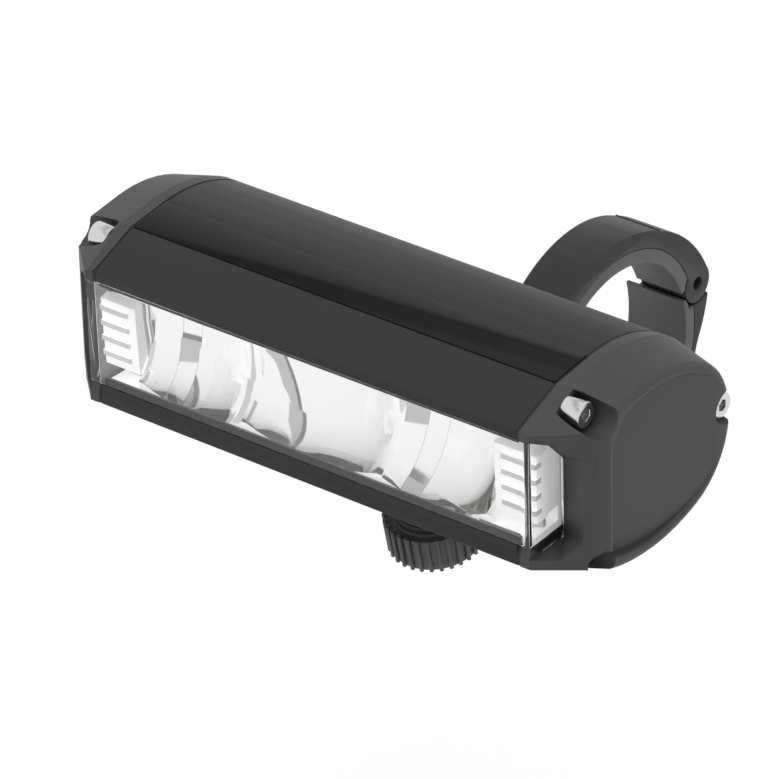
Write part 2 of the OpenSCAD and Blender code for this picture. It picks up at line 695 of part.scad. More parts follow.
module port_board() color("#1f5b34") in_lamp() left_side()
    box([port_board_x - port_board_t, port_board_low[0], port_board_low[1]],
        [port_board_x, port_board_high[0], port_board_high[1]]);
module port_leads() color("#2a2a2a") in_lamp() left_side() for (y = port_lead_ys)
    wire([[port_board_x - port_board_t, y, port_lead_z], [port_lead_x, y, port_lead_z],
        [port_lead_x, y, lead_z], [driver_half, y, lead_z]]);
module usb_socket() color("#c4c6c8") in_lamp() left_side() {
    difference() {
        box([port_board_x, port_c[0] - port_w / 2, port_c[1] - port_h / 2],
            [socket_out_x, port_c[0] + port_w / 2, port_c[1] + port_h / 2]);
        box([port_board_x + 1, port_c[0] - port_w / 2 + shell_t, port_c[1] - port_h / 2 + shell_t],
            [socket_out_x + 1, port_c[0] + port_w / 2 - shell_t, port_c[1] + port_h / 2 - shell_t]);
    }
    box([port_board_x + 1 - eps, port_c[0] - tongue[0], port_c[1] - tongue[1]],
        [socket_out_x - tongue_back, port_c[0] + tongue[0], port_c[1] + tongue[1]]);
}
module tact_switch() color("#9a9c9e") in_lamp() left_side() {
    box([port_board_x, button_c[0] - switch_half, button_c[1] - switch_half],
        [plunger_x - plunger_l, button_c[0] + switch_half, button_c[1] + switch_half]);
    rod_x(plunger_x - plunger_l - eps, plunger_x, plunger_r, button_c);
}
module button_seal() color("#1a1a1b") in_lamp() left_side() difference() {
    rod_x(button_flange_x + seat, hollow_x, button_r + seal_w, button_c);
    rod_x(button_flange_x, hollow_x + 1, button_r + gap, button_c);
}
module power_button() color("#6c6c6e") in_lamp() left_side() {
    rod_x(button_flange_x - eps, button_out_x, button_r, button_c);
    rod_x(button_flange_x - button_flange_t, button_flange_x, button_r + button_rim, button_c);
    rod_x(stem_x, button_flange_x - button_flange_t + eps, stem_r, button_c);
}
module port_cover() color("#242425") in_lamp() left_side() {
    box([dish_x + seat, port_c[0] - cover_w / 2, port_c[1] - cover_h / 2],
        [dish_x + seat + cover_t, port_c[0] + cover_w / 2, port_c[1] + cover_h / 2]);
    box([socket_out_x + gap, port_c[0] - plug[0], port_c[1] - plug[1]],
        [dish_x + 2 * seat, port_c[0] + plug[0], port_c[1] + plug[1]]);
    cover_axis(cover_w + 2 * (gap + lug_t), cover_pin_r);
}

module mount_saddle() color("#3a3a3b") difference() {
    in_clamp() box([-foot_half, foot_front, arm_high + foot_t], [foot_half, foot_back, mount_screw_top]);
    in_lamp() along_x(-foot_half - 1, foot_half + 1) polygon(outline);
    in_clamp() for (s = [-1, 1]) translate([s * mount_screw_x, -mount_screw_y, arm_high])
        cylinder(r = mount_screw_r + gap, h = 10);
}
module mount_screws() color("#b9babc") in_clamp() for (s = [-1, 1])
    translate([s * mount_screw_x, -mount_screw_y, 0]) difference() {
        union() {
            translate([0, 0, foot_low - eps])
                cylinder(r = mount_screw_r, h = mount_screw_top - foot_low + eps);
            translate([0, 0, foot_low - mount_head_l]) cylinder(r = mount_head_r, h = mount_head_l);
        }
        translate([0, 0, foot_low - mount_head_l - 1])
            cylinder(r = mount_socket_r, h = 1 + mount_head_l / 2, $fn = 6);
    }

// The round of the upper half's back, and side views of the clamp halves, drawn as (y, z)
upper_back_c = [0.33, -2.75];
upper_back_r = 22.36;
module upper_side() {
    difference() {
        circle(r = ring_r);
        translate([-far / 2, split_high - far]) square(far);
    }
    polygon([[-20.3, 1.9], [-26, arm_mid_up], [-screw_reach, arm_mid_up], [-screw_reach, arm_high],
        [-16.35, arm_high], [-15, 8], [-18.1, 3]]);
    polygon(concat(arc(upper_back_c, upper_back_r, 11.5, 54.2, 12),
        [[13, 13], [16, 8], [18, split_high], hinge_c]));
}
// The lower half's back, from below up to the hinge, and the pocket beside its knuckle
lower_back = [[10.4, -17.4], [14, -13], [16.2, -9.85], [17.4, -7.75], [18.05, -6.85], [18.85, -5.85],
    [19.5, -4.95], [20.25, -3.7], [20.85, -2.55], [21.35, -1.5]];
pocket = [[16.8, 0.4], [16.8, -1.05], [18.4, -1.2], hinge_c];
module lower_side() {
    difference() {
        circle(r = ring_r);
        translate([-far / 2, split_low]) square(far);
        polygon(concat(lower_back, [[far / 2, -1.5], [far / 2, -far / 2], [10.4, -far / 2]]));
    }
    polygon([[-17.9, split_low], [-19.9, split_low], [-26.3, arm_mid], [-screw_reach, arm_mid],
        [-screw_reach, arm_low], [-27, arm_low], [-18.5, -8.6], [-14, -8], [-17, split_low]]);
    polygon(concat(lower_back, [[20.95, -0.9], hinge_c, [hinge_c[0], split_low], [16, split_low]]));
}
// The cheeks and the tongue, as [x0, x1]
cheek_spans = [[ring_left, ring_left + cheek_t], [ring_right - cheek_t, ring_right]];
tongue_span = [ring_left + cheek_t + gap, ring_right - cheek_t - gap];
module clamp_bore() rod_x(-10, 10, shell_r + eps, [0, 0]);

module clamp_upper() color("#4c4c4d") in_clamp() difference() {
    union() {
        difference() {
            along_x(ring_left, ring_right) upper_side();
            clamp_bore();
        }
        for (s = cheek_spans) rod_x(s[0], s[1], knuckle_r, hinge_c);
        translate([0, -screw_reach, arm_mid_up]) cylinder(r = arm_end_r, h = upper_arm_t);
        box([-arm_end_r, -screw_reach, arm_mid_up], [arm_end_r, -26.5, arm_high]);
        box([-foot_half, foot_front, foot_low], [foot_half, foot_back, arm_high + foot_t]);
    }
    rod_x(cheek_spans[0][1], cheek_spans[1][0], knuckle_r + knuckle_gap, hinge_c);
    rod_x(-10, 10, pin_d / 2 + eps, hinge_c);
    translate([0, -screw_reach, arm_mid_up - 1]) cylinder(r = insert_r + eps, h = upper_arm_t + 1);
    for (s = [-1, 1]) translate([s * mount_screw_x, -mount_screw_y, arm_high - 1])
        cylinder(r = mount_screw_r + gap, h = 5);
}
module clamp_lower() color("#4c4c4d") in_clamp() difference() {
    union() {
        difference() {
            along_x(-lower_w / 2, lower_w / 2) lower_side();
            clamp_bore();
            for (s = [[-10, tongue_span[0]], [tongue_span[1], 10]]) {
                rod_x(s[0], s[1], knuckle_r + knuckle_gap, hinge_c);
                along_x(s[0], s[1]) polygon(pocket);
            }
        }
        rod_x(tongue_span[0], tongue_span[1], knuckle_r, hinge_c);
        translate([0, -screw_reach, arm_low]) cylinder(r = arm_end_r, h = lower_arm_t);
    }
    rod_x(-10, 10, pin_d / 2 + pin_clearance, hinge_c);
    translate([0, -screw_reach, arm_low - 1]) cylinder(r = screw_core_d / 2 + seat, h = lower_arm_t + 2);
}
// A liner's ring, without what the hinge needs
module liner_ring() difference() {
    circle(r = shell_r);
    circle(r = bore_r);
    translate(hinge_c) circle(r = knuckle_r + knuckle_gap);
}
module liner_upper() color("#2a2a2b") in_clamp() along_x(ring_left, ring_right) difference() {
    liner_ring();
    translate([-far / 2, split_high - far]) square(far);
}
module liner_lower() color("#2a2a2b") in_clamp() along_x(-lower_w / 2, lower_w / 2) difference() {
    liner_ring();
    polygon(pocket);
    translate([-far / 2, split_low]) square(far);
}
module hinge_pin() color("#8d8e90") in_clamp()
    rod_x(ring_left + pin_depth, ring_right - pin_depth, pin_d / 2, hinge_c);
module threaded_insert() color("#b08d4a") in_clamp() translate([0, -screw_reach, arm_mid_up]) difference() {
    cylinder(r = insert_r, h = upper_arm_t);
    translate([0, 0, -1]) cylinder(r = insert_bore_d / 2, h = upper_arm_t + 2);
}
module clamp_screw() color("#b9babc") in_clamp() translate([0, -screw_reach, 0]) {
    translate([0, 0, knob_head_z]) cylinder(r = screw_core_d / 2, h = arm_mid + screw_engage - knob_head_z);
    translate([0, 0, knob_head_z - knob_head_t + eps]) cylinder(r = knob_head_r, h = knob_head_t, $fn = 6);
}
module knob_washer() color("#b9babc") in_clamp()
    translate([0, -screw_reach, knob_top + knob_gap]) difference() {
        cylinder(r = washer_r, h = washer_t);
        translate([0, 0, -1]) cylinder(r = screw_core_d / 2 + seat, h = washer_t + 2);
    }
module knob() color("#3d3d3e") in_clamp() translate([0, -screw_reach, knob_top - knob_h]) difference() {
    union() {
        cylinder(r = knob_d / 2 - rib_depth, h = knob_h - shoulder);
        cylinder(r = knob_face_r, h = knob_h);
        for (i = [0 : knob_ribs - 1]) rotate([0, 0, 360 / knob_ribs * i])
            translate([knob_d / 2 - rib_width, 0, 0]) cylinder(r = rib_width, h = knob_h, $fn = 16);
    }
    translate([0, 0, -1]) cylinder(r = screw_core_d / 2 + eps, h = knob_h + 2);
    translate([0, 0, -1])
        cylinder(r = knob_head_r + eps, h = 1 + knob_head_z - (knob_top - knob_h) + eps, $fn = 6);
}

housing();
top_strip();
end_cap_left();
end_cap_right();
gasket_left();
gasket_right();
cap_screws_left();
cap_screws_right();
front_lens();
lens_seal();
reflector();
light_bar_left();
light_bar_right();
side_led_board_left();
side_led_board_right();
main_led_board();
led_emitters();
led_leads();
battery_cell();
battery_cradle();
battery_leads();
driver_board();
driver_parts();
port_board();
port_leads();
usb_socket();
tact_switch();
button_seal();
power_button();
port_cover();
mount_saddle();
mount_screws();
clamp_upper();
liner_upper();
hinge_pin();
threaded_insert();
clamp_lower();
liner_lower();
knob_washer();
clamp_screw();
knob();
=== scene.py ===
# %% [markdown]
# # A bicycle headlight on its handlebar clamp
#
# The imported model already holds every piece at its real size. This script keeps those sizes and
# gives each piece the look of the real thing: soft edges, anodised metal, moulded plastic, clear
# lens, mirror cells and ribbed light bars. It starts with what every later cell uses.

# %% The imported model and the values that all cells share
import json
import math
import bmesh
import bpy
from mathutils import Matrix, Vector

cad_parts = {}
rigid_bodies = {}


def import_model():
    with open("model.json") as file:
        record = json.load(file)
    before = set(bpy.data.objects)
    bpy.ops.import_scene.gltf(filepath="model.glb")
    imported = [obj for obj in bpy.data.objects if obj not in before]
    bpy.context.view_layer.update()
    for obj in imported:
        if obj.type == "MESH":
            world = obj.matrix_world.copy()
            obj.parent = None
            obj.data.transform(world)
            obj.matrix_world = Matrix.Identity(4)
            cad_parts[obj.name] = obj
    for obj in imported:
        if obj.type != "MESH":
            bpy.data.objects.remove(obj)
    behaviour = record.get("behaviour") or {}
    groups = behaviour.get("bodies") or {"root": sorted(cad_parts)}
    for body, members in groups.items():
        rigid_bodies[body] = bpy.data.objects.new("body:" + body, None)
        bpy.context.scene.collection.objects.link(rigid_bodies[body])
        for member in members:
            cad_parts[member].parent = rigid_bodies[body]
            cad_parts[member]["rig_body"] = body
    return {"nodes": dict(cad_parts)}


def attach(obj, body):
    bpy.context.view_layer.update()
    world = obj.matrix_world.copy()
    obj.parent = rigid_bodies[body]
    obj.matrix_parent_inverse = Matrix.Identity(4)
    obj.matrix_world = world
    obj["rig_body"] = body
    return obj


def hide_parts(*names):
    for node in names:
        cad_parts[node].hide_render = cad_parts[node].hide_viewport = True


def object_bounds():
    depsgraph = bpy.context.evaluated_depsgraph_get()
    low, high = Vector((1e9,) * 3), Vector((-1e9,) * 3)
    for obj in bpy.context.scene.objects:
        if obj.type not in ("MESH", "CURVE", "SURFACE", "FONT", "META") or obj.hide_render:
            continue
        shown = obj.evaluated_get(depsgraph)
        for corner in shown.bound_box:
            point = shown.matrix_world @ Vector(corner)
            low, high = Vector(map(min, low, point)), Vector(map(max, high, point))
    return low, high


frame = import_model()
nodes = frame["nodes"]
cad_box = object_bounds()
MM = 0.001
LAMP = Vector((0, -61.6, 12.45)) * MM      # the lamp's own origin: bottom edge of the front face
LEAN = math.radians(11.9)                  # lean of the clamp about X
print("pieces in the model:", len(nodes))

# %% [markdown]
# ## The camera
#
# The picture was taken from the lamp's front right, a little above, through a long lens. A long
# lens keeps parallel edges nearly parallel. The camera is placed by its direction and distance from
# the lamp's origin, and then moved sideways by two small amounts, which is the same as framing.

# %% The camera
AZIMUTH, ELEVATION, ROLL = (math.radians(a) for a in (38.25, 30.97, -1.47))
DISTANCE = 812.8 * MM
ASIDE, ABOVE = 10.80 * MM, 11.91 * MM
SENSOR = 36.0                              # millimetres
LENS = 294.1

back = Vector((math.sin(AZIMUTH) * math.cos(ELEVATION),
               -math.cos(AZIMUTH) * math.cos(ELEVATION), math.sin(ELEVATION)))
level = Vector((math.cos(AZIMUTH), math.sin(AZIMUTH), 0))
upright = back.cross(level)
right = math.cos(ROLL) * level + math.sin(ROLL) * upright
up = -math.sin(ROLL) * level + math.cos(ROLL) * upright
turn = Matrix((right, up, back)).transposed()
camera_data = bpy.data.cameras.new("camera")
camera_data.sensor_width = SENSOR
camera_data.lens = LENS
camera_data.clip_start, camera_data.clip_end = 0.05, 20
camera = bpy.data.objects.new("camera", camera_data)
camera.matrix_world = Matrix.Translation(
    LAMP + back * DISTANCE + right * ASIDE + up * ABOVE) @ turn.to_4x4()
bpy.context.scene.collection.objects.link(camera)
bpy.context.scene.camera = camera
print("camera at", [round(v, 3) for v in camera.location])

# %% [markdown]
# ## Materials
#
# A material here is a small network of nodes. One helper adds a node, sets its values and links
# what feeds it, so that each material reads as a short recipe. Colours are written as they would
# look on a screen, and one function turns them into the linear values that the renderer needs.

# %% The two helpers that every material uses
def linear(hex_code):
    """The linear colour of an sRGB hex code."""
    values = [int(hex_code[i:i + 2], 16) / 255 for i in (1, 3, 5)]
    return [v / 12.92 if v <= 0.04045 else ((v + 0.055) / 1.055) ** 2.4 for v in values] + [1]


def add(tree, kind, links=None, **settings):
    """Adds a node. A setting is an input's value or the node's own property."""
    made = tree.nodes.new(kind)
    for key, value in settings.items():
        if hasattr(made, key):
            setattr(made, key, value)
        else:
            made.inputs[key.replace("_", " ")].default_value = value
    for key, source in (links or {}).items():
        tree.links.new(source, made.inputs[key])
    return made


def surface(name):
    """A new material with its node tree and its shader, ready for a recipe."""
    material = bpy.data.materials.new(name)
    material.use_nodes = True
    tree = material.node_tree
    return material, tree, tree.nodes["Principled BSDF"]


def clouded(tree, place, colour, cloud_mm, low, high, detail=1):
    """A colour that is lighter and darker in soft clouds, as no real surface is quite even."""
    cloud = add(tree, "ShaderNodeTexNoise", {"Vector": place}, Scale=1 / (cloud_mm * MM),
                Detail=detail)
    shade = add(tree, "ShaderNodeMapRange", {"Value": cloud.outputs["Fac"]},
                To_Min=low, To_Max=high)
    tint = add(tree, "ShaderNodeVectorMath", {1: shade.outputs["Result"]}, operation="MULTIPLY")
    tint.inputs[0].default_value = linear(colour)[:3]
    return tint.outputs["Vector"]


# %% [markdown]
# Anodised aluminium is metal under a thin hard oxide that has been dyed. The bead blasting before
# it leaves a very fine grain, so it is satin: highlights are broad. The grain of the real part is
# about 0.05 mm, which is too fine to show here, so it is drawn at 0.2 mm.

# %% Metals
ROUGHNESS_SPREAD = 0.05                    # between the grain's hills and valleys
DYED_METALLIC = 0.35                       # the dyed oxide hides most of the metal's own shine


def anodised(name, colour, roughness, gloss, grain_mm=0.2, depth=0.02):
    """Anodised aluminium: dyed oxide over blasted metal, satin, with a fine grain."""
    material, tree, shader = surface(name)
    shader.inputs["Specular IOR Level"].default_value = gloss
    place = add(tree, "ShaderNodeTexCoord").outputs["Object"]
    grain = add(tree, "ShaderNodeTexNoise", {"Vector": place}, Scale=1 / (grain_mm * MM), Detail=2)
    bump = add(tree, "ShaderNodeBump", {"Height": grain.outputs["Fac"]}, Distance=depth * MM)
    rough = add(tree, "ShaderNodeMapRange", {"Value": grain.outputs["Fac"]},
                To_Min=roughness - ROUGHNESS_SPREAD, To_Max=roughness + ROUGHNESS_SPREAD)
    colour_out = clouded(tree, place, colour, 14, 0.94, 1.06, detail=2)
    tree.links.new(colour_out, shader.inputs["Base Color"])
    tree.links.new(rough.outputs["Result"], shader.inputs["Roughness"])
    tree.links.new(bump.outputs["Normal"], shader.inputs["Normal"])
    shader.inputs["Metallic"].default_value = DYED_METALLIC
    return material


def turned_steel(name, colour="#d4d4d6", roughness=0.22):
    """Stainless steel, turned: bright, with faint rings around its axis."""
    material, tree, shader = surface(name)
    place = add(tree, "ShaderNodeTexCoord").outputs["Object"]
    streak = add(tree, "ShaderNodeTexNoise", {"Vector": place}, Scale=1 / (0.15 * MM), Detail=1)
    bump = add(tree, "ShaderNodeBump", {"Height": streak.outputs["Fac"]}, Distance=0.006 * MM)
    tree.links.new(bump.outputs["Normal"], shader.inputs["Normal"])
    shader.inputs["Base Color"].default_value = linear(colour)
    shader.inputs["Metallic"].default_value = 1
    shader.inputs["Roughness"].default_value = roughness
    return material


body_metal = anodised("anodised_aluminium_body", "#2e2e2f", 0.52, 0.2)
clamp_metal = anodised("anodised_aluminium_clamp", "#333334", 0.45, 0.2)
knob_metal = anodised("anodised_aluminium_knob", "#4a4a4b", 0.4, 0.25)
steel = turned_steel("turned_steel")
black_steel = turned_steel("blackened_steel_pin", "#1c1c1d", 0.5)
brass = turned_steel("turned_brass", "#c9a55c", 0.3)

# %% [markdown]
# The end caps are moulded plastic. A spark-eroded mould leaves a soft matte texture, finer than the
# eye resolves at this distance, so a bump of 0.25 mm grain stands for it.

# %% Plastics and rubbers
def moulded(name, colour, roughness, gloss=0.4, grain_mm=0.25, depth=0.01):
    """Moulded plastic or rubber: even colour, with the mould's fine texture."""
    material, tree, shader = surface(name)
    shader.inputs["Specular IOR Level"].default_value = gloss
    place = add(tree, "ShaderNodeTexCoord").outputs["Object"]
    grain = add(tree, "ShaderNodeTexNoise", {"Vector": place}, Scale=1 / (grain_mm * MM), Detail=3)
    bump = add(tree, "ShaderNodeBump", {"Height": grain.outputs["Fac"]}, Distance=depth * MM)
    tree.links.new(clouded(tree, place, colour, 10, 0.96, 1.04), shader.inputs["Base Color"])
    tree.links.new(bump.outputs["Normal"], shader.inputs["Normal"])
    shader.inputs["Roughness"].default_value = roughness
    return material


cap_plastic = moulded("moulded_abs_cap", "#393939", 0.5, 0.25)
foot_plastic = moulded("moulded_nylon_foot", "#2c2c2d", 0.55, 0.25)
strip_plastic = moulded("polished_acrylic_strip", "#0e0e0f", 0.12, 0.15, depth=0.001)
# A painted dark band for the lens flange: it stands in for the dark seal seen through the lens rim.
lens_flange_painted_dark = moulded("lens_flange_painted_dark", "#3c3c3d", 0.6)
seal_rubber = moulded("silicone_rubber_seal", "#161617", 0.6)
liner_rubber = moulded("rubber_liner", "#4b4b4c", 0.55)
button_rubber = moulded("silicone_rubber_button", "#5d5d5f", 0.5)
inner_plastic = moulded("moulded_nylon_inside", "#26282a", 0.5)
board_mask = moulded("green_solder_mask", "#1f5b34", 0.35)
white_mask = moulded("white_solder_mask", "#d6d6d2", 0.4)
cell_wrap = moulded("shrink_wrap", "#2f6fb0", 0.25)
wire_sleeve = moulded("silicone_wire_sleeve", "#7c1818", 0.45)

# %% [markdown]
# The lens is clear polycarbonate. A real pane bends light, but light that bends hardly reaches the
# cells behind it when traced from the camera, so shadow rays pass straight through. The
# reflector is plastic with a thin layer of aluminium on it, and the light bars are milky acrylic.
# The milky plastics and the bare white plastic of the mirror get a small glow of their own: painted
# light that keeps them white where the housing shades them.

# %% Clear, mirrored and milky materials
def clear_polycarbonate():
    """Polycarbonate, injection moulded and polished: clear, with bright edges."""
    material, tree, shader = surface("clear_polycarbonate")
    shader.inputs["Base Color"].default_value = linear("#fefefe")
    shader.inputs["Roughness"].default_value = 0.02
    shader.inputs["IOR"].default_value = 1.585
    shader.inputs["Transmission Weight"].default_value = 1
    light = add(tree, "ShaderNodeLightPath")
    open_way = add(tree, "ShaderNodeBsdfTransparent", Color=linear("#fafafa"))
    mix = add(tree, "ShaderNodeMixShader", {0: light.outputs["Is Shadow Ray"],
                                            1: shader.outputs["BSDF"], 2: open_way.outputs["BSDF"]})
    tree.links.new(mix.outputs["Shader"], tree.nodes["Material Output"].inputs["Surface"])
    return material


CELL_PITCH = 19.3                          # of the outer bowls, from the middle
SEAMS = [side * CELL_PITCH + offset for side in (-1, 1) for offset in (-5.1, -2.4)]
SEAM_HALF, SEAM_PAINTED_SHADE = 0.045, 0.65        # half the width of the painted dark line on a seam, and how much light the mirror returns under that painted shade


def painted_seam_shade(tree, across):
    """1 on the thin lines of painted shade along the mirror's seams, and 0 beside them."""
    lines = []
    for x in SEAMS:
        line = add(tree, "ShaderNodeMath", {0: across}, operation="COMPARE")
        line.inputs[1].default_value = x * MM
        line.inputs[2].default_value = SEAM_HALF * MM
        lines.append(line.outputs["Value"])
    found = lines[0]
    for line in lines[1:]:
        found = add(tree, "ShaderNodeMath", {0: found, 1: line},
                    operation="MAXIMUM").outputs["Value"]
    return found


def metallised():
    """Plastic with vacuum-deposited aluminium: a mirror, as wavy as the moulding under it."""
    material, tree, shader = surface("vacuum_metallised_plastic")
    place = add(tree, "ShaderNodeTexCoord").outputs["Object"]
    wave = add(tree, "ShaderNodeTexNoise", {"Vector": place}, Scale=1 / (8 * MM), Detail=0)
    bump = add(tree, "ShaderNodeBump", {"Height": wave.outputs["Fac"]}, Distance=0.004 * MM)
    tree.links.new(bump.outputs["Normal"], shader.inputs["Normal"])
    # Thin lines along the seams are painted darker: painted shade at the folds.
    across = add(tree, "ShaderNodeSeparateXYZ", {"Vector": place}).outputs["X"]
    shade = add(tree, "ShaderNodeMapRange", {"Value": painted_seam_shade(tree, across)},
                To_Min=1.0, To_Max=SEAM_PAINTED_SHADE)
    tint = add(tree, "ShaderNodeVectorMath", {1: shade.outputs["Result"]}, operation="MULTIPLY")
    tint.inputs[0].default_value = linear("#fefefe")[:3]
    tree.links.new(tint.outputs["Vector"], shader.inputs["Base Color"])
    shader.inputs["Metallic"].default_value = 1
    shader.inputs["Roughness"].default_value = 0.03
    return material


def milky_with_painted_glow(name, colour, glow):
    """Opal plastic with a small emission glow: painted light that brightens it where it lies in
    shade.
    """
    material, tree, shader = surface(name)
    place = add(tree, "ShaderNodeTexCoord").outputs["Object"]
    colour_out = clouded(tree, place, colour, 3, 0.97, 1.0)
    tree.links.new(colour_out, shader.inputs["Base Color"])
    tree.links.new(colour_out, shader.inputs["Emission Color"])
    shader.inputs["Emission Strength"].default_value = glow
    shader.inputs["Roughness"].default_value = 0.3
    return material


def silicone_dome():
    """Clear silicone over yellow phosphor, as an unlit white diode shows it."""
    material, tree, shader = surface("silicone_dome")
    shader.inputs["Base Color"].default_value = linear("#dcd7b4")
    shader.inputs["Roughness"].default_value = 0.08
    shader.inputs["Coat Weight"].default_value = 1
    return material


lens_clear = clear_polycarbonate()
mirror = metallised()
# All three glow a little, the bare white plastic of the mirror too: painted light, not a lamp.
milky = milky_with_painted_glow("opal_acrylic_painted_glow", "#fbfbfb", 0.3)
frosted = milky_with_painted_glow("frosted_acrylic_fins_painted_glow", "#c6c9ca", 0.2)
bare_plastic = milky_with_painted_glow("polycarbonate_bare_painted_glow", "#f1f2f2", 0.35)
dome = silicone_dome()

# %% [markdown]
# ## Dressing the solids
#
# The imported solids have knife-sharp edges, and nothing made by a machine does. A copy of each is
# merged, its flat triangles are joined to whole faces, and a bevel rounds its edges by a real
# radius. The copy then stands for the solid. Faces meet at a smooth angle where they are curved.

# %% Rounding the edges of a solid
SMOOTH_ANGLE = math.radians(32)


def assign(piece, material):
    piece.data.materials.clear()
    piece.data.materials.append(material)


def merged_copy(node, flat_angle=math.radians(0.6)):
    """A bmesh of a solid with its loose triangles joined to whole faces."""
    bm = bmesh.new()
    bm.from_mesh(nodes[node].data)
    bmesh.ops.remove_doubles(bm, verts=bm.verts, dist=0.002 * MM)
    bmesh.ops.dissolve_limit(bm, angle_limit=flat_angle, verts=bm.verts, edges=bm.edges)
    for face in bm.faces:
        face.smooth = True
    return bm


def stand_in(node, bm, material):
    """Makes a piece from a bmesh, which stands for a solid of the model."""
    mesh = bpy.data.meshes.new(node + "_look")
    bm.to_mesh(mesh)
    bm.free()
    piece = bpy.data.objects.new(node + "_look", mesh)
    bpy.context.scene.collection.objects.link(piece)
    assign(piece, material)
    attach(piece, nodes[node]["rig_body"])
    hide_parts(node)
    return piece


def dressed(node, material, radius_mm, segments=3):
    """A copy of a solid with rounded edges."""
    piece = stand_in(node, merged_copy(node), material)
    bevel = piece.modifiers.new("edges", "BEVEL")
    bevel.width = radius_mm * MM
    bevel.segments = segments
    bevel.limit_method = "ANGLE"
    bevel.angle_limit = SMOOTH_ANGLE
    bevel.harden_normals = True
    bevel.use_clamp_overlap = False
    return piece


def finish_only(node, material):
    """Gives a solid whose shape is right its material."""
    assign(nodes[node], material)
    nodes[node].data.shade_smooth()
    nodes[node].data.set_sharp_from_angle(angle=SMOOTH_ANGLE)


# %% The pieces that show
# Where the lens's hidden flange lies: its depth behind the front face, its ends and its edges
FLANGE_FRONT, FLANGE_BACK = LAMP.y + 1.28 * MM, LAMP.y + 1.9 * MM
FLANGE_END = 34.0 * MM
FLANGE_LOW, FLANGE_HIGH = LAMP.z + 3.72 * MM, LAMP.z + 17.4 * MM
dressed("housing", body_metal, 0.15)
dressed("top_strip", strip_plastic, 0.08)
for side in ("left", "right"):
    finish_only("end_cap_" + side, cap_plastic)
    dressed("cap_screws_" + side, steel, 0.12)
    finish_only("gasket_" + side, seal_rubber)
    finish_only("side_led_board_" + side, white_mask)
lens = dressed("front_lens", lens_clear, 0.12)
lens.data.materials.append(lens_flange_painted_dark)
for face in lens.data.polygons:
    in_flange = FLANGE_FRONT < face.center.y < FLANGE_BACK and abs(face.center.x) < FLANGE_END
    if in_flange and (face.center.z < FLANGE_LOW or face.center.z > FLANGE_HIGH):
        face.material_index = 1            # painted dark grey: stands in for the dark seal seen through the lens rim, and hides the edge of the cells
finish_only("lens_seal", seal_rubber)
finish_only("main_led_board", white_mask)
finish_only("led_emitters", dome)
dressed("clamp_upper", clamp_metal, 0.2)
dressed("clamp_lower", clamp_metal, 0.2)
dressed("liner_upper", liner_rubber, 0.15)
dressed("liner_lower", liner_rubber, 0.15)
dressed("knob", knob_metal, 0.06, 2)
dressed("knob_washer", inner_plastic, 0.1)
dressed("mount_saddle", foot_plastic, 0.2)
dressed("power_button", button_rubber, 0.3)
dressed("port_cover", seal_rubber, 0.25)
for node in ("mount_screws", "clamp_screw", "usb_socket"):
    finish_only(node, steel)
finish_only("hinge_pin", black_steel)
finish_only("threaded_insert", brass)
finish_only("button_seal", seal_rubber)
finish_only("tact_switch", inner_plastic)
finish_only("battery_cell", cell_wrap)
finish_only("battery_cradle", inner_plastic)
finish_only("driver_parts", inner_plastic)
for node in ("driver_board", "port_board"):
    finish_only(node, board_mask)
for node in ("led_leads", "battery_leads", "port_leads"):
    finish_only(node, wire_sleeve)

# %% [markdown]
# The mirror is one moulding with three bowls. The two outer bowls are folded along two seams each,
# left of their middle, so that the light is thrown wide. The solid's small steps are rounded off by
# smooth shading, and only the seams and the true edges stay sharp.

# %% The mirror
TRUE_EDGE = math.radians(20)


def is_seam(edge):
    return any(all(abs(v.co.x / MM - x) < 0.1 for v in edge.verts) for x in SEAMS)


bowls = merged_copy("reflector", math.radians(0.3))
for edge in bowls.edges:
    edge.smooth = not (is_seam(edge) or edge.calc_face_angle(0) > TRUE_EDGE)
mirror_piece = stand_in("reflector", bowls, mirror)
mirror_piece.data.materials.append(bare_plastic)
FRONT_LIPS = LAMP.y + 2.0 * MM             # the lips in front of this are bare,
WING_X = 28.35 * MM                        # and so are the wings, past this
FLAT = 0.999                               # a face with this share of its normal forwards is flat
for face in mirror_piece.data.polygons:
    on_lip = face.normal.y < -FLAT and face.center.y < FRONT_LIPS
    if on_lip or abs(face.center.x) > WING_X:
        face.material_index = 1            # masked while the bowls were metallised
print("seams of the mirror at", SEAMS)

# %% [markdown]
# Each side light is a white bar with four fins that lead the light round the corner. The fins are
# frosted, so they look greyer than the bar. Both are one moulding, so the fins only get a second
# material, on the faces that stand in front of the bar or reach past it.

# %% The side lights
BAR_FRONT, BAR_OUT_X = LAMP.y + 2.58 * MM, 34.32 * MM   # just past the bar's front and its end
for side in ("left", "right"):
    bar = stand_in("light_bar_" + side, merged_copy("light_bar_" + side), milky)
    bar.data.shade_flat()
    bar.data.materials.append(frosted)
    fins = 0
    for face in bar.data.polygons:
        if face.center.y < BAR_FRONT or abs(face.center.x) > BAR_OUT_X:
            face.material_index = 1
            fins += 1
    print("side light", side, "has", fins, "frosted faces")

# %% [markdown]
# ## Floor and light
#
# Product pictures are lit by large soft boxes, so that dark satin metal shows broad gradients and
# no hard spots. A white sky fills the shadows, and three large lamps give the shape. A mirror in
# an all white room looks like white paper, so two strips of grey cloth hang across the sky, as a
# photographer would hang them. They are what the dark bands in the three bowls reflect.

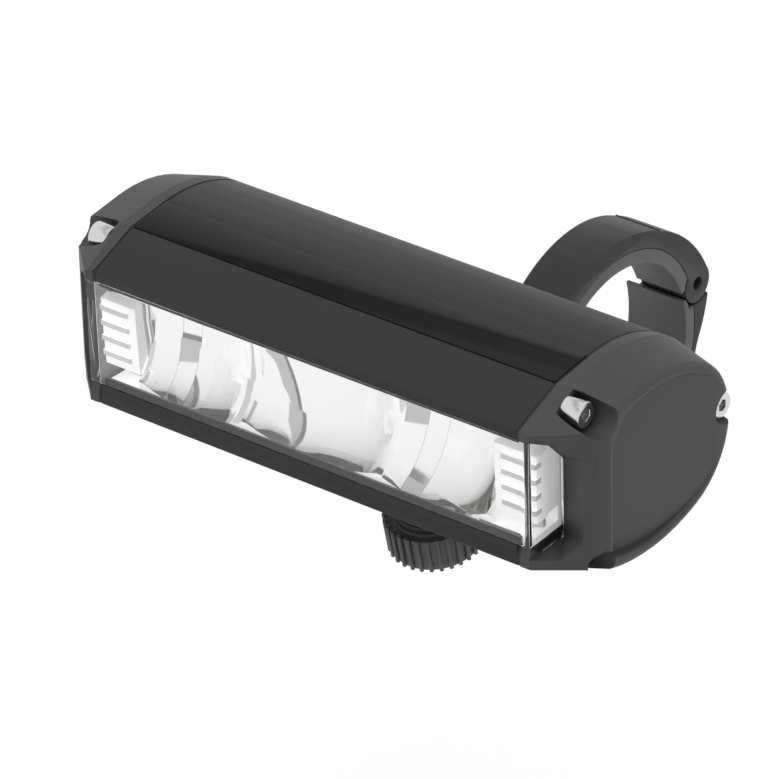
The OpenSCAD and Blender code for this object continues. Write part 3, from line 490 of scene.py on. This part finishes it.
# %% The floor
FLOOR_HALF = 3.0
FLOOR_DROP = 40 * MM                       # below the lamp: room for the clamp to hang open
floor_mesh = bpy.data.meshes.new("floor")
floor_bm = bmesh.new()
bmesh.ops.create_grid(floor_bm, x_segments=1, y_segments=1, size=FLOOR_HALF)
bmesh.ops.translate(floor_bm, verts=floor_bm.verts, vec=(0, 0, cad_box[0].z - FLOOR_DROP))
floor_bm.to_mesh(floor_mesh)
floor_bm.free()
floor = bpy.data.objects.new("floor", floor_mesh)
bpy.context.scene.collection.objects.link(floor)
floor_paint, floor_tree, floor_shader = surface("white_paper")
floor_shader.inputs["Base Color"].default_value = linear("#f7f7f7")
floor_shader.inputs["Roughness"].default_value = 0.9


def seen_directly(tree):
    """1 for what the camera sees, also in a mirror or through glass, and 0 for lighting."""
    path = add(tree, "ShaderNodeLightPath")
    seen = add(tree, "ShaderNodeMath", {0: path.outputs["Is Camera Ray"],
                                        1: path.outputs["Is Glossy Ray"]}, operation="MAXIMUM")
    return add(tree, "ShaderNodeMath", {0: seen.outputs["Value"],
                                        1: path.outputs["Is Transmission Ray"]},
               operation="MAXIMUM").outputs["Value"]


SHADOW_SHARE = 0.12                        # of the paper's light and shade that still shows
glow = add(floor_tree, "ShaderNodeEmission", Color=(1, 1, 1, 1), Strength=1.0)
share = add(floor_tree, "ShaderNodeMath", {0: seen_directly(floor_tree)}, operation="MULTIPLY")
share.inputs[1].default_value = 1 - SHADOW_SHARE
shown = add(floor_tree, "ShaderNodeMixShader", {0: share.outputs["Value"],
                                                1: floor_shader.outputs["BSDF"],
                                                2: glow.outputs["Emission"]})
floor_tree.links.new(shown.outputs["Shader"], floor_tree.nodes["Material Output"].inputs["Surface"])
assign(floor, floor_paint)

# %% The sky and the lamps
world = bpy.data.worlds.new("studio")
world.use_nodes = True
bpy.context.scene.world = world
world_tree = world.node_tree
SKY = 0.5                                  # strength of the sky as a lamp; seen, it is plain white
FLAG_NORMAL = (0.855, 0.235, 0.462)        # square to a strip of cloth that hangs over the lamp
sky = world_tree.nodes["Background"]
sky.inputs["Color"].default_value = (1, 1, 1, 1)
direction = add(world_tree, "ShaderNodeTexCoord").outputs["Generated"]
across = add(world_tree, "ShaderNodeVectorMath", {0: direction}, operation="DOT_PRODUCT")
across.inputs[1].default_value = FLAG_NORMAL


def flag(middle, half_width, darkness):
    """How much of the white a strip of cloth across the sky takes away."""
    inside = add(world_tree, "ShaderNodeMath", {0: across.outputs["Value"]}, operation="COMPARE")
    inside.inputs[1].default_value = middle
    inside.inputs[2].default_value = half_width
    share = add(world_tree, "ShaderNodeMath", {0: inside.outputs["Value"]}, operation="MULTIPLY")
    share.inputs[1].default_value = darkness
    return share.outputs["Value"]


wide_strip, dark_edge = flag(0.05, 0.055, 0.5), flag(-0.02, 0.015, 0.85)
cloth = add(world_tree, "ShaderNodeMath", {0: wide_strip, 1: dark_edge}, operation="MAXIMUM")
bright = add(world_tree, "ShaderNodeMath", {1: cloth.outputs["Value"]}, operation="SUBTRACT")
bright.inputs[0].default_value = 1.0
strength = add(world_tree, "ShaderNodeMapRange", {"Value": seen_directly(world_tree),
                                                  "To Max": bright.outputs["Value"]}, To_Min=SKY)
world_tree.links.new(strength.outputs["Result"], sky.inputs["Strength"])


def soft_box(name, azimuth, elevation, distance, size, power):
    """A square lamp that looks at the object from a direction."""
    data = bpy.data.lights.new(name, "AREA")
    data.shape = "SQUARE"
    data.size = size
    data.energy = power
    lamp = bpy.data.objects.new(name, data)
    a, e = math.radians(azimuth), math.radians(elevation)
    way = Vector((math.sin(a) * math.cos(e), -math.cos(a) * math.cos(e), math.sin(e)))
    lamp.location = LAMP + way * distance
    lamp.rotation_euler = way.to_track_quat("Z", "Y").to_euler()
    lamp.visible_glossy = False            # mirrors show plain white instead of the lamp's shape
    lamp.visible_transmission = False      # and so do mirrors behind the lens
    bpy.context.scene.collection.objects.link(lamp)


soft_box("top_box", 10, 80, 0.9, 0.7, 5.0)
soft_box("right_box", 110, 35, 1.0, 0.6, 3.5)
soft_box("front_box", -30, 30, 1.0, 0.7, 3.5)
bpy.context.scene.view_settings.view_transform = "Standard"
